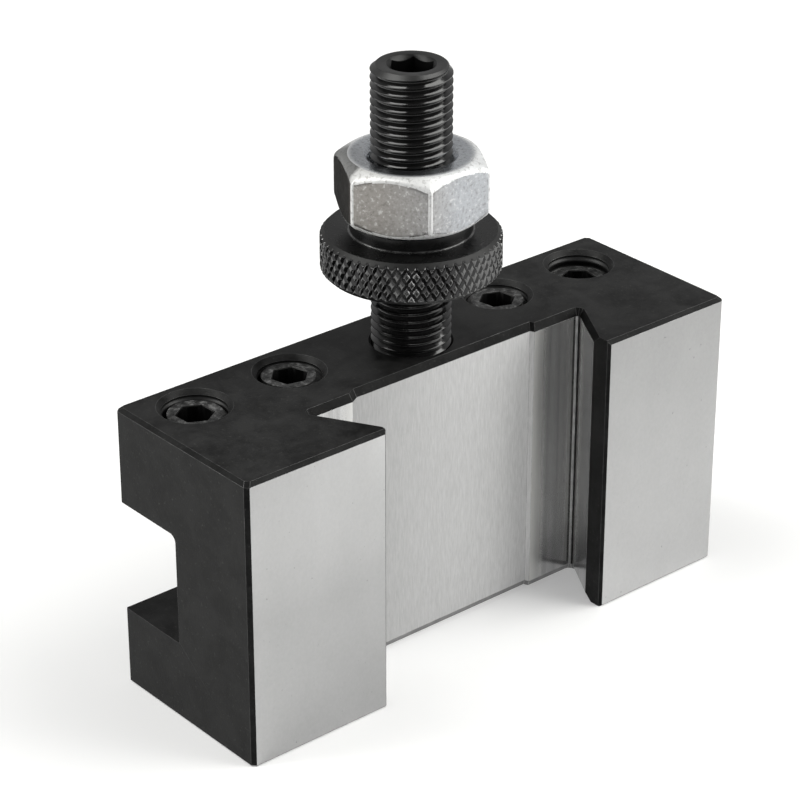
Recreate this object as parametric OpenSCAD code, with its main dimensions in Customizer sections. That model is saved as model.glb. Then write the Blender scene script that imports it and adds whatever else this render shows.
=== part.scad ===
// Quick-change turning tool holder, in millimetres.
// A steel block hangs on a tool post by the dovetail groove in its front.
// Four set screws clamp a square tool in the slot that is open at its back.
// A knurled collar on a threaded stud rests on the post and sets the height.
// A hexagon nut locks the collar.
// +X runs along the block, -Y is the dovetail side and +Z is up.
// The origin is the centre of the block's base.

/* [Block] */
// Length of the block along X
block_length = 76.5; // [75:0.5:110]
// Thickness of the block from the jaw faces to its back
block_depth = 25.3; // [24.5:0.1:34]
// Height of the block
block_height = 38; // [34:0.5:56]
// Bevel along the outer top edges and the upright corners
edge_bevel = 0.5; // [0.2:0.05:1]
// Bevel along the outer edges of the base
base_bevel = 0.2; // [0.1:0.05:0.6]

/* [Dovetail groove] */
// Width of the groove's mouth between the two noses
mouth_width = 35.6; // [28:0.2:42]
// Distance by which the mouth sits to the right of the flanks' middle
mouth_offset = 0.2; // [0:0.05:0.6]
// Angle between a flank and the groove's floor
flank_angle = 60; // [55:1:75]
// Depth from the jaw faces to the bearing strips of the floor
groove_depth = 9.5; // [7.5:0.1:10]
// Mean depth of the noses' straight walls, where the flanks begin
nose_depth = 2.45; // [2:0.05:5]
// Bevel of the nose at the jaw face
nose_bevel = 0.35; // [0.1:0.05:0.8]
// Extra depth of the relief in the middle of the floor
relief_depth = 0.6; // [0.2:0.05:0.9]
// Width of the relief at the level of the bearing strips
relief_width = 29.3; // [16:0.1:32]
// Distance by which the relief sits to the left of the middle
relief_offset = 0.35; // [0:0.05:2]
// Width of the sloping left side of the relief
relief_left_ramp = 1.1; // [0.2:0.1:2]
// Width of the steep right side of the relief
relief_right_ramp = 0.25; // [0.1:0.05:2]
// Width of the bevel along the floor and the flanks at both ends of the groove
groove_bevel = 0.55; // [0.2:0.05:1]
// Height of that bevel
groove_bevel_height = 1; // [0.4:0.1:2]
// Radius of the groove's inner corners
corner_r = 0.4; // [0.2:0.05:0.8]

/* [Tool slot] */
// Depth of the slot from the back of the block
slot_depth = 11.2; // [8:0.1:11.6]
// Height of the slot
slot_height = 14.7; // [10:0.1:16]
// Height of the slot's floor above the base
slot_floor_z = 10.57; // [6:0.01:13]
// Radius of the slot's upper inner corner
slot_ceiling_r = 1; // [0.2:0.1:2]
// Radius of the slot's lower inner corner
slot_floor_r = 0.3; // [0.1:0.1:1]
// Bevel along the back edges of the slot
slot_bevel = 0.4; // [0.1:0.05:1]

/* [Clamp screws] */
// Crest diameter of the clamp screws
clamp_d = 7.95; // [6:0.05:8.4]
// Thread pitch of the clamp screws
clamp_pitch = 1.25; // [0.8:0.05:1.5]
// Length of the clamp screws
clamp_length = 10; // [8:0.5:12]
// Width across the flats of the clamp screws' sockets
clamp_socket_af = 4; // [3:0.1:4.5]
// Depth of the clamp screws' sockets
clamp_socket_depth = 4.5; // [2.5:0.1:5]
// Bevel that follows the hexagon mouths of the clamp screws' sockets
clamp_socket_bevel = 0.1; // [0.05:0.01:0.3]
// Diameter of the cups in the clamp screws' points
clamp_cup_d = 4.5; // [3:0.1:5.5]
// Distance of the outer clamp screws' axes from the ends of the block
clamp_inset = 7.25; // [6.25:0.05:8.75]
// Distance between the axes of an outer and an inner clamp screw
clamp_spacing = 14.2; // [11:0.1:15]
// Distance of the clamp screws' axes from the back of the block
clamp_setback = 6; // [5.5:0.05:6.6]
// Mouth diameter of the countersinks of the clamp holes
clamp_mouth_d = 9.2; // [8.6:0.1:10]
// Radial clearance of the clamp screws' crests in their holes
clamp_clearance = 0.03; // [0.01:0.01:0.1]
// Depth of the first clamp screw's top under the block's top
clamp_recess_1 = 1; // [0:0.1:4]
// Depth of the second clamp screw's top under the block's top
clamp_recess_2 = 0.6; // [0:0.1:4]
// Depth of the third clamp screw's top under the block's top
clamp_recess_3 = 0.7; // [0:0.1:4]
// Depth of the fourth clamp screw's top under the block's top
clamp_recess_4 = 1.9; // [0:0.1:4]
// Turn of the first clamp screw's socket
clamp_turn_1 = 32; // [0:1:60]
// Turn of the second clamp screw's socket
clamp_turn_2 = 45; // [0:1:60]
// Turn of the third clamp screw's socket
clamp_turn_3 = 38; // [0:1:60]
// Turn of the fourth clamp screw's socket
clamp_turn_4 = 20; // [0:1:60]

/* [Height stud] */
// Crest diameter of the stud
stud_d = 9.9; // [8:0.1:11]
// Thread pitch of the stud
stud_pitch = 1; // [0.75:0.05:1.5]
// Height of the stud above the block's top
stud_rise = 36; // [30:0.5:60]
// Distance of the stud's axis from the back of the block
stud_setback = 8.85; // [8:0.05:9.5]
// Thickness of the metal left under the stud's hole
stud_web = 1.74; // [1:0.02:3]
// Bevel at the ends of the stud
stud_bevel = 0.7; // [0.3:0.1:1]
// Width across the flats of the stud's socket
stud_socket_af = 5; // [4:0.1:5.5]
// Depth of the stud's socket
stud_socket_depth = 5; // [3:0.1:8]
// Width of the round bevel outside the corners of the stud's socket
stud_socket_bevel = 0.15; // [0.05:0.01:0.4]
// Turn of the stud's socket
stud_turn = 45; // [0:1:60]
// Radial clearance between the stud's crests and the bores around it
stud_clearance = 0.03; // [0.01:0.01:0.1]
// Depth of the small countersink around the stud in the block's top
stud_mouth = 0.3; // [0.1:0.1:0.6]
// Radial gap between a socket's flats and the drilled hole below them
socket_drill_gap = 0.08; // [0.02:0.01:0.3]

/* [Height collar] */
// Diameter over the tips of the knurl
collar_d = 22.2; // [18:0.1:23]
// Height of the knurled disc
collar_height = 5.3; // [4:0.1:8]
// Height of the collar's underside above the block's top
collar_lift = 9.6; // [2:0.1:14]
// Bevel at the disc's rims
collar_bevel = 0.7; // [0.5:0.1:1]
// Bevel of the bore at the collar's underside
collar_mouth = 0.35; // [0.1:0.05:0.8]
// Diameter of the hub on top of the disc
hub_d = 15; // [13:0.1:16.5]
// Height of the hub
hub_height = 1.85; // [1:0.05:4]
// Bevel at the hub's upper rim
hub_bevel = 0.25; // [0.1:0.05:0.5]
// Number of knurl tips around the disc
knurl_count = 58; // [40:1:72]
// Number of knurl rows over the disc's height
knurl_rows = 4; // [2:1:6]
// Depth of the knurl's grooves
knurl_depth = 0.45; // [0.2:0.05:0.6]

/* [Lock nut] */
// Width across the flats of the nut
nut_af = 17; // [15:0.1:19]
// Height of the nut
nut_height = 8; // [5:0.1:9]
// Diameter of the flat ring on the nut's faces
nut_face_d = 16.2; // [14:0.1:16.4]
// Angle of the bevel that rounds off the nut's corners
nut_bevel_angle = 30; // [20:1:40]
// Mouth diameter of the nut's countersinks
nut_mouth_d = 11.4; // [11.2:0.1:12.4]
// Turn of the nut on the stud
nut_turn = 3; // [0:1:60]

/* [Hidden] */
$fn = 96;
over = 1;
// Sixty degree thread form, as shares of the pitch: the flats on its crest and root, and its depth.
flank_slope_angle = 60;
crest_flat_ratio = 1 / 8;
root_flat_ratio = 1 / 4;
slope_ratio = (1 - crest_flat_ratio - root_flat_ratio) / 2;
thread_depth_ratio = slope_ratio * tan(flank_slope_angle);

// Distance from the middle of a hexagon to its corners, from its width across flats.
hex_sides = 6;
function hex_corner_r(flats) = flats / 2 / cos(180 / hex_sides);

half_length = block_length / 2;
front_y = -block_depth / 2;
back_y = block_depth / 2;

// Groove stations in plan. The flanks are symmetrical and the mouth sits to their right,
// so the left nose is a little shallower than the right one.
floor_y = front_y + groove_depth;
relief_y = floor_y + relief_depth;
floor_x = mouth_width / 2 + (groove_depth - nose_depth) / tan(flank_angle);
mouth_left = -mouth_width / 2 + mouth_offset;
mouth_right = mouth_width / 2 + mouth_offset;
left_nose_depth = nose_depth - mouth_offset * tan(flank_angle);
right_nose_depth = nose_depth + mouth_offset * tan(flank_angle);
relief_left = -relief_width / 2 - relief_offset;
relief_right = relief_width / 2 - relief_offset;

// Slot stations.
slot_wall_y = back_y - slot_depth;
slot_ceiling_z = slot_floor_z + slot_height;

// Clamp row.
clamp_y = back_y - clamp_setback;
clamp_r = clamp_d / 2;
clamp_outer_x = half_length - clamp_inset;
clamp_inner_x = clamp_outer_x - clamp_spacing;
clamp_xs = [-clamp_outer_x, -clamp_inner_x, clamp_inner_x, clamp_outer_x];
clamp_recesses = [clamp_recess_1, clamp_recess_2, clamp_recess_3, clamp_recess_4];
clamp_turns = [clamp_turn_1, clamp_turn_2, clamp_turn_3, clamp_turn_4];
clamp_bevel = clamp_pitch * thread_depth_ratio;
clamp_hole_r = clamp_r + clamp_clearance;
clamp_mouth_depth = clamp_mouth_d / 2 - clamp_hole_r;
clamp_cup_r = clamp_cup_d / 2;

// Stud, collar and nut share one axis and one bore.
stud_y = back_y - stud_setback;
stud_r = stud_d / 2;
stud_bottom_z = slot_ceiling_z + stud_web;
stud_top_z = block_height + stud_rise;
bore_r = stud_r + stud_clearance;
collar_z = block_height + collar_lift;
collar_top_z = collar_z + collar_height;
hub_top_z = collar_top_z + hub_height;
nut_top_z = hub_top_z + nut_height;
collar_r = collar_d / 2;
collar_face_r = collar_r - collar_bevel;
nut_corner_r = hex_corner_r(nut_af);
nut_mouth_depth = nut_mouth_d / 2 - bore_r;

steel_black = [0.2, 0.2, 0.21];
steel_dark = [0.12, 0.12, 0.13];
steel_zinc = [0.66, 0.65, 0.62];

// Plan outline of the block with its upright corners bevelled.
function plan_outline(inset) =
    let (x = half_length - inset)
    let (y = block_depth / 2 - inset)
    let (c = edge_bevel)
    [
        [-x + c, -y],
        [x - c, -y],
        [x, -y + c],
        [x, y - c],
        [x - c, y],
        [-x + c, y],
        [-x, y - c],
        [-x, -y + c]
    ];

// Round inner corner of the groove on the right, from the flank to the floor.
corner_turn = 90 + 90 - flank_angle;
corner_steps = 4;
corner_centre = [floor_x - corner_r / tan(flank_angle / 2), floor_y - corner_r];
corner_arc = [
    for (k = [0 : corner_steps])
        let (angle = 90 - corner_turn * (1 - k / corner_steps))
        corner_centre + corner_r * [cos(angle), sin(angle)]
];

// Plan outline of the groove with the relief in its floor.
groove_outline = concat(
    [
        [mouth_right + nose_bevel + over, front_y - over],
        [mouth_right, front_y + nose_bevel],
        [mouth_right, front_y + right_nose_depth]
    ],
    corner_arc,
    [
        [relief_right, floor_y],
        [relief_right - relief_right_ramp, relief_y],
        [relief_left + relief_left_ramp, relief_y],
        [relief_left, floor_y]
    ],
    [for (k = [corner_steps : -1 : 0]) [-corner_arc[k][0], corner_arc[k][1]]],
    [
        [mouth_left, front_y + left_nose_depth],
        [mouth_left, front_y + nose_bevel],
        [mouth_left - nose_bevel - over, front_y - over]
    ]
);

// The floor and the flanks flare at the groove's ends; the two walls, the two bevels and the
// open side of the mouth stay straight. The flare ends on the noses, clear of their bevels.
mouth_edges = 5;
nose_room = left_nose_depth - 2 * nose_bevel;
flare = min(groove_bevel, nose_room * cos(flank_angle));
flares = [
    for (i = [0 : len(groove_outline) - 1])
        i < floor(mouth_edges / 2) || i >= len(groove_outline) - ceil(mouth_edges / 2) ? 0 : flare
];

// Outward normal of the edge from a to b in an anticlockwise outline.
function edge_normal(a, b) = [b[1] - a[1], a[0] - b[0]] / norm(b - a);

// Outline whose edge from each point to the next is moved outward by that point's grow.
function grown(points, grows) =
    let (count = len(points))
    [
        for (i = [0 : count - 1])
            let (k = (i + count - 1) % count)
            let (a = edge_normal(points[k], points[i]))
            let (b = edge_normal(points[i], points[(i + 1) % count]))
            let (shift = [grows[k] * b[1] - grows[i] * a[1], grows[i] * a[0] - grows[k] * b[0]])
            points[i] + shift / (a[0] * b[1] - a[1] * b[0])
    ];

// Solid that joins outlines of equal point count, one at each level.
module lofted(outlines, levels) {
    count = len(outlines[0]);
    last = len(levels) - 1;
    points = [
        for (k = [0 : last])
            for (p = outlines[k])
                [p[0], p[1], levels[k]]
    ];
    sides = [
        for (k = [0 : last - 1])
            for (i = [0 : count - 1])
                [
                    k * count + i,
                    k * count + (i + 1) % count,
                    (k + 1) * count + (i + 1) % count,
                    (k + 1) * count + i
                ]
    ];
    base = [[for (i = [count - 1 : -1 : 0]) i]];
    lid = [[for (i = [0 : count - 1]) last * count + i]];
    faces = [for (f = concat(base, sides, lid)) [for (j = [len(f) - 1 : -1 : 0]) f[j]]];
    polyhedron(points = points, faces = faces);
}

// Half profile of a threaded rod from z = 0 to its length, with bevelled ends.
function thread_profile(radius, pitch, length, bevel) =
    let (depth = pitch * thread_depth_ratio)
    let (crest = pitch * crest_flat_ratio)
    let (root = pitch * root_flat_ratio)
    let (slope = (pitch - crest - root) / 2)
    let (root_r = radius - depth)
    let (turns = floor((length - 2 * bevel) / pitch))
    let (start = (length - turns * pitch) / 2)
    concat(
        [[0, 0], [radius - bevel, 0]],
        [
            for (k = [0 : turns - 1])
                for (p = [
                    [root_r, 0],
                    [radius, slope],
                    [radius, slope + crest],
                    [root_r, slope + crest + slope]
                ])
                    [p[0], start + k * pitch + root / 2 + p[1]]
        ],
        [[radius - bevel, length], [0, length]]
    );

module threaded_rod(radius, pitch, length, bevel) {
    rotate_extrude()
        polygon(thread_profile(radius, pitch, length, bevel));
}

// Hexagon socket with a drilled end, opening at z = 0.
module hex_socket(flats, depth) {
    drill_r = flats / 2 - socket_drill_gap;
    translate([0, 0, -depth])
        cylinder(r = hex_corner_r(flats), h = depth + over, $fn = hex_sides);
    rotate_extrude()
        polygon([
            [0, -depth - drill_r / 2],
            [drill_r, -depth],
            [drill_r, over],
            [0, over]
        ]);
}

// Bevel that follows the edges of a hexagon socket's mouth at z = 0.
module hex_mouth(flats, bevel) {
    translate([0, 0, -bevel])
        cylinder(
            r1 = hex_corner_r(flats),
            r2 = hex_corner_r(flats + 2 * bevel + 2 * over),
            h = bevel + over,
            $fn = hex_sides
        );
}

// Round bevel of a mouth at z = 0, which reaches the given radius there.
module round_mouth(radius) {
    rotate_extrude()
        polygon([
            [0, -radius],
            [radius + over, over],
            [0, over]
        ]);
}

// Cutter for a round hole whose mouth is bevelled at 45 degrees at z = 0.
module bevelled_hole(radius, depth, mouth) {
    rotate_extrude()
        polygon([
            [0, -depth],
            [radius, -depth],
            [radius, -mouth],
            [radius + mouth + over, over],
            [0, over]
        ]);
}

module block_body() {
    lofted(
        [
            plan_outline(base_bevel),
            plan_outline(0),
            plan_outline(0),
            plan_outline(edge_bevel)
        ],
        [0, base_bevel, block_height - edge_bevel, block_height]
    );
}

// Levels for a cutter that runs past both ends of the block and flares there.
flare_levels = [
    -over,
    0,
    groove_bevel_height,
    block_height - groove_bevel_height,
    block_height,
    block_height + over
];

module dovetail_cut() {
    wide = grown(groove_outline, flares);
    lofted([wide, wide, groove_outline, groove_outline, wide, wide], flare_levels);
}

// Square corner of a slot profile with its inner corner left round.
module rounded_corner(radius) {
    difference() {
        square(radius);
        circle(radius);
    }
}

module slot_profile() {
    difference() {
        translate([slot_wall_y, slot_floor_z])
            square([slot_depth + over, slot_height]);
        translate([slot_wall_y + slot_ceiling_r, slot_ceiling_z - slot_ceiling_r])
            mirror([1, 0])
                rounded_corner(slot_ceiling_r);
        translate([slot_wall_y + slot_floor_r, slot_floor_z + slot_floor_r])
            mirror([1, 0])
                mirror([0, 1])
                    rounded_corner(slot_floor_r);
    }
    polygon([
        [back_y - slot_bevel, slot_floor_z + over],
        [back_y - slot_bevel, slot_floor_z],
        [back_y + over, slot_floor_z - slot_bevel - over],
        [back_y + over, slot_ceiling_z + slot_bevel + over],
        [back_y - slot_bevel, slot_ceiling_z],
        [back_y - slot_bevel, slot_ceiling_z - over]
    ]);
}

module slot_cut() {
    translate([-half_length - over, 0, 0])
        rotate([90, 0, 90])
            linear_extrude(block_length + 2 * over)
                slot_profile();
}

module holder_block() {
    color(steel_black)
        difference() {
            block_body();
            dovetail_cut();
            slot_cut();
            for (x = clamp_xs)
                translate([x, clamp_y, block_height])
                    bevelled_hole(clamp_hole_r, block_height - slot_ceiling_z + over, clamp_mouth_depth);
            translate([0, stud_y, block_height])
                bevelled_hole(bore_r, block_height - stud_bottom_z, stud_mouth);
        }
}

// Set screw number k, counted from the left, with a socket above and a cup point below.
module clamp_screw(k) {
    top_z = block_height - clamp_recesses[k];
    color(steel_dark)
        translate([clamp_xs[k], clamp_y, top_z - clamp_length])
            difference() {
                threaded_rod(clamp_r, clamp_pitch, clamp_length, clamp_bevel);
                translate([0, 0, clamp_length])
                    rotate([0, 0, clamp_turns[k]]) {
                        hex_socket(clamp_socket_af, clamp_socket_depth);
                        hex_mouth(clamp_socket_af, clamp_socket_bevel);
                    }
                translate([0, 0, -over])
                    cylinder(r1 = clamp_cup_r + over, r2 = 0, h = clamp_cup_r + over);
            }
}

module clamp_screw_1() {
    clamp_screw(0);
}

module clamp_screw_2() {
    clamp_screw(1);
}

module clamp_screw_3() {
    clamp_screw(2);
}

module clamp_screw_4() {
    clamp_screw(3);
}

module height_stud() {
    color(steel_dark)
        translate([0, stud_y, stud_bottom_z])
            difference() {
                threaded_rod(stud_r, stud_pitch, stud_top_z - stud_bottom_z, stud_bevel);
                translate([0, 0, stud_top_z - stud_bottom_z])
                    rotate([0, 0, stud_turn]) {
                        hex_socket(stud_socket_af, stud_socket_depth);
                        round_mouth(hex_corner_r(stud_socket_af) + stud_socket_bevel);
                    }
            }
}

// Disc whose rim carries crossed spiral grooves that leave rows of diamonds.
module knurled_disc() {
    steps = 2 * knurl_count;
    valley_r = collar_r - knurl_depth;
    levels = [
        collar_z + collar_bevel,
        collar_top_z - collar_bevel
    ];
    row_height = (levels[1] - levels[0]) / knurl_rows;
    rim = [
        for (n = [0 : knurl_rows])
            for (m = [0 : steps - 1])
                let (tip = (m + n) % 2 == 0)
                let (r = tip ? collar_r : valley_r)
                let (drop = tip ? 0 : knurl_depth)
                let (lift = n == 0 ? -drop : n == knurl_rows ? drop : 0)
                [r * cos(360 * m / steps), r * sin(360 * m / steps), levels[0] + n * row_height + lift]
    ];
    bottom_ring = [
        for (m = [0 : steps - 1])
            [collar_face_r * cos(360 * m / steps), collar_face_r * sin(360 * m / steps), collar_z]
    ];
    top_ring = [for (p = bottom_ring) [p[0], p[1], collar_top_z]];
    bottom_start = len(rim);
    top_start = bottom_start + steps;
    last_row = knurl_rows * steps;
    // Each cell splits along the groove that joins its two low corners.
    cells = [
        for (n = [0 : knurl_rows - 1])
            for (m = [0 : steps - 1])
                let (a = n * steps + m)
                let (b = n * steps + (m + 1) % steps)
                let (c = (n + 1) * steps + (m + 1) % steps)
                let (d = (n + 1) * steps + m)
                for (t = (m + n) % 2 == 0 ? [[a, d, b], [b, d, c]] : [[a, d, c], [a, c, b]])
                    t
    ];
    lower_bevel = [
        for (m = [0 : steps - 1])
            let (next = (m + 1) % steps)
            for (t = [
                [bottom_start + m, m, next],
                [bottom_start + m, next, bottom_start + next]
            ])
                t
    ];
    upper_bevel = [
        for (m = [0 : steps - 1])
            let (next = (m + 1) % steps)
            for (t = [
                [last_row + m, top_start + m, top_start + next],
                [last_row + m, top_start + next, last_row + next]
            ])
                t
    ];
    lid = [[for (m = [steps - 1 : -1 : 0]) top_start + m]];
    base = [[for (m = [0 : steps - 1]) bottom_start + m]];
    polyhedron(
        points = concat(rim, bottom_ring, top_ring),
        faces = concat(cells, lower_bevel, upper_bevel, lid, base)
    );
}

module height_collar() {
    hub_r = hub_d / 2;
    waist_z = collar_z + collar_height / 2;
    color(steel_dark)
        translate([0, stud_y, 0])
            difference() {
                union() {
                    knurled_disc();
                    rotate_extrude()
                        polygon([
                            [0, waist_z],
                            [hub_r, waist_z],
                            [hub_r, hub_top_z - hub_bevel],
                            [hub_r - hub_bevel, hub_top_z],
                            [0, hub_top_z]
                        ]);
                }
                rotate_extrude()
                    polygon([
                        [0, collar_z - over],
                        [bore_r + collar_mouth + over, collar_z - over],
                        [bore_r, collar_z + collar_mouth],
                        [bore_r, hub_top_z + over],
                        [0, hub_top_z + over]
                    ]);
            }
}

module lock_nut() {
    rim_r = nut_corner_r + over;
    rim_drop = (rim_r - nut_face_d / 2) * tan(nut_bevel_angle);
    mouth_r = bore_r + nut_mouth_depth;
    color(steel_zinc)
        translate([0, stud_y, 0])
            intersection() {
                translate([0, 0, hub_top_z - over])
                    rotate([0, 0, nut_turn])
                        cylinder(r = nut_corner_r, h = nut_height + 2 * over, $fn = hex_sides);
                rotate_extrude()
                    polygon([
                        [mouth_r, hub_top_z],
                        [nut_face_d / 2, hub_top_z],
                        [rim_r, hub_top_z + rim_drop],
                        [rim_r, nut_top_z - rim_drop],
                        [nut_face_d / 2, nut_top_z],
                        [mouth_r, nut_top_z],
                        [bore_r, nut_top_z - nut_mouth_depth],
                        [bore_r, hub_top_z + nut_mouth_depth]
                    ]);
            }
}

holder_block();
clamp_screw_1();
clamp_screw_2();
clamp_screw_3();
clamp_screw_4();
height_stud();
height_collar();
lock_nut();
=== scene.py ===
"""Looks of a quick-change turning tool holder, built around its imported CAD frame.

Every piece is rebuilt as a finer mesh in the place of its CAD node: the block with
its machined faces and fine edge breaks, true screw threads on the stud and the set
screws, the diamond knurl of the collar, and the nut. Sizes are in millimetres and
are turned into metres when a mesh is made. Panels, floor and cards are in metres.
"""

import math
from dataclasses import dataclass

import bmesh
import bpy
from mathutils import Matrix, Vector


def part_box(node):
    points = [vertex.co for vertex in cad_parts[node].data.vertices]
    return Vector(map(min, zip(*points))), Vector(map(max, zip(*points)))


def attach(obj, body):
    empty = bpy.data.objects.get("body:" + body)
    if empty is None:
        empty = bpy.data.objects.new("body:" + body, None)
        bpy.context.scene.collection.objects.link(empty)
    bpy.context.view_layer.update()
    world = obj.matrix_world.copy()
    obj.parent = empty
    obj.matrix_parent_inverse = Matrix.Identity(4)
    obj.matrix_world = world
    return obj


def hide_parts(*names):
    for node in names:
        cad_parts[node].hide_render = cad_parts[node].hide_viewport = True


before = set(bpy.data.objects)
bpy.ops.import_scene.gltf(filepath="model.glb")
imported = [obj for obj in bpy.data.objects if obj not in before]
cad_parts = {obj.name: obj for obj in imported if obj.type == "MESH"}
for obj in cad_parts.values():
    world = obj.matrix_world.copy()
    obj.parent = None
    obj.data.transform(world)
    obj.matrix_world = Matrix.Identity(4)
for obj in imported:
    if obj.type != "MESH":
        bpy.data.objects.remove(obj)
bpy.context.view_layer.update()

MM = 0.001
MERGE = 1e-7

# Widest angle in degrees across which turned surfaces are shaded as one.
SMOOTH_ANGLE = 32
# How far a test of place reaches past the surface that it asks for.
SKIN = 0.05
# Part of a face's normal along an axis: over SQUARE the face lies across the axis,
# from TILTED on it is a bevel, and under ALONG it runs along the axis.
SQUARE = 0.95
TILTED = 0.3
ALONG = 0.1

# Degrees from one corner of a hexagon to the next.
HEX_STEP = 60
HALF_STEP = HEX_STEP / 2

# Finishes of each piece's faces, in the order of its mesh's material slots.
BLACK, GROUND, RELIEF, STRIP, BREAK, EDGE, RIDGE, HOLE, ROOT, SHADED_SIDE = range(10)
THREAD, END, SOCKET, LIP = range(4)
KNURLED, BEVELLED, FACED, HIGHLIGHTED_FOOT = range(4)
NUT_SIDE, NUT_END, NUT_RIM = range(3)


def box_mm(node):
    """Lowest and highest corner of a CAD node, in millimetres."""
    low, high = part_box(node)
    return Vector(low) / MM, Vector(high) / MM


def middle_of(low, high):
    """Upright middle line of a box, as its (x, y)."""
    return (low.x + high.x) / 2, (low.y + high.y) / 2


def from_axis(place, axis):
    """Distance of a place from an upright axis given as (x, y)."""
    return math.hypot(place.x - axis[0], place.y - axis[1])


BLOCK_LOW, BLOCK_HIGH = box_mm("holder_block")
STUD_LOW, STUD_HIGH = box_mm("height_stud")
COLLAR_LOW, COLLAR_HIGH = box_mm("height_collar")
NUT_LOW, NUT_HIGH = box_mm("lock_nut")
CLAMP_BOXES = {k: box_mm(f"clamp_screw_{k}") for k in (1, 2, 3, 4)}
STUD_AXIS = (0.0, (STUD_LOW.y + STUD_HIGH.y) / 2)
STUD_R = (STUD_HIGH.x - STUD_LOW.x) / 2
BORE_R = STUD_R + 0.03


# Meshes


def make_object(name, verts, faces, smooth_angle):
    """A mesh object in metres from points in millimetres, with coinciding points merged."""
    bm = bmesh.new()
    points = [bm.verts.new((x * MM, y * MM, z * MM)) for x, y, z in verts]
    for face in faces:
        bm.faces.new([points[i] for i in face])
    bmesh.ops.remove_doubles(bm, verts=bm.verts, dist=MERGE)
    bmesh.ops.dissolve_degenerate(bm, edges=bm.edges, dist=MERGE)
    bmesh.ops.recalc_face_normals(bm, faces=bm.faces)
    return link_mesh(name, bm, smooth_angle)


def link_mesh(name, bm, smooth_angle):
    """The object of a finished bmesh in the scene, smooth but for its hard edges."""
    mesh = bpy.data.meshes.new(name)
    bm.to_mesh(mesh)
    bm.free()
    obj = bpy.data.objects.new(name, mesh)
    bpy.context.scene.collection.objects.link(obj)
    mesh.polygons.foreach_set("use_smooth", [True] * len(mesh.polygons))
    mesh.set_sharp_from_angle(angle=math.radians(smooth_angle))
    return obj


def shell(name, axis, angles, column, split=None, smooth_angle=SMOOTH_ANGLE):
    """A surface around an upright axis. column(angle) gives its (radius, height) points.

    The first and last angle are a full turn apart, and their columns are merged.
    split(i, j) picks which way the cell at column i and point j is cut in two, or
    None for a cell that stays whole.
    """
    columns = [column(angle) for angle in angles]
    count = len(columns[0])
    verts = [
        (axis[0] + r * math.cos(angle), axis[1] + r * math.sin(angle), z)
        for angle, points in zip(angles, columns)
        for r, z in points
    ]
    faces = []
    for i in range(len(angles) - 1):
        for j in range(count - 1):
            a, b = i * count + j, (i + 1) * count + j
            c, d = b + 1, a + 1
            way = split(i, j) if split else None
            if way is None:
                faces.append((a, b, c, d))
            elif way:
                faces += [(a, b, d), (b, c, d)]
            else:
                faces += [(a, b, c), (a, c, d)]
    return make_object(name, verts, faces, smooth_angle)


def give_finishes(obj, finish_at):
    """Put each face of a mesh in the slot that finish_at(face) returns."""
    for polygon in obj.data.polygons:
        polygon.material_index = finish_at(polygon)


def soften(corners, radius, steps=3):
    """A profile with each inner corner rounded off by about radius."""
    out = [corners[0]]
    for before, here, after in zip(corners, corners[1:], corners[2:]):
        here_v = Vector(here)
        to_before = Vector(before) - here_v
        to_after = Vector(after) - here_v
        reach = min(radius, to_before.length * 0.45, to_after.length * 0.45)
        start = here_v + to_before.normalized() * reach
        end = here_v + to_after.normalized() * reach
        for k in range(steps + 1):
            t = k / steps
            point = start * (1 - t) ** 2 + here_v * 2 * t * (1 - t) + end * t**2
            out.append((point.x, point.y))
    out.append(corners[-1])
    return out


def full_turn(count, start=0.0):
    """Angles of a full turn in radians, first and last the same direction."""
    return [math.radians(start) + 2 * math.pi * i / count for i in range(count + 1)]


def hex_radius(angle, flats, turn, rounding):
    """Distance from the axis to a hexagon's side, with its corners rounded."""
    apothem = flats / 2
    from_corner = (math.degrees(angle) - turn + HALF_STEP) % HEX_STEP - HALF_STEP
    phi = math.radians(abs(from_corner))
    flat = apothem / math.cos(math.radians(HALF_STEP) - phi)
    centre = (apothem - rounding) / math.cos(math.radians(HALF_STEP))
    inside = rounding**2 - (centre * math.sin(phi)) ** 2
    if inside > 0:
        return min(flat, centre * math.cos(phi) + math.sqrt(inside))
    return flat


# Screws and stud

STUD_PITCH = 1.0
CLAMP_PITCH = 1.25
# Form of a rounded sixty degree thread from crest to root, then from crest to crest.
# Each step is its place along the pitch and its depth, both in pitches.
HALF_THREAD = [(0.0, 0.0), (0.05, 0.002), (0.08, 0.03), (0.36, 0.515), (0.43, 0.594), (0.5, 0.6134)]
THREAD_FORM = HALF_THREAD + [(round(1 - place, 2), depth) for place, depth in HALF_THREAD[-2:0:-1]]

SCREW_COLUMNS = 96
# Rounding of a screw's turned rims and of its socket's corners, and the gap between
# the socket's flats and the drilled hole below them.
RIM = 0.04
SOCKET_ROUNDING = 0.08
DRILL_GAP = 0.08
# Radius within which a face belongs to the socket, in widths across its flats.
SOCKET_REACH = 0.62


def thread_depth(phase):
    """Depth under the crest, in pitches, at a place along the thread in pitches."""
    phase %= 1.0
    form = THREAD_FORM + [(1.0, 0.0)]
    for (f0, d0), (f1, d1) in zip(form, form[1:]):
        if f0 <= phase <= f1:
            return d0 + (d1 - d0) * (phase - f0) / (f1 - f0)
    return 0.0


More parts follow.
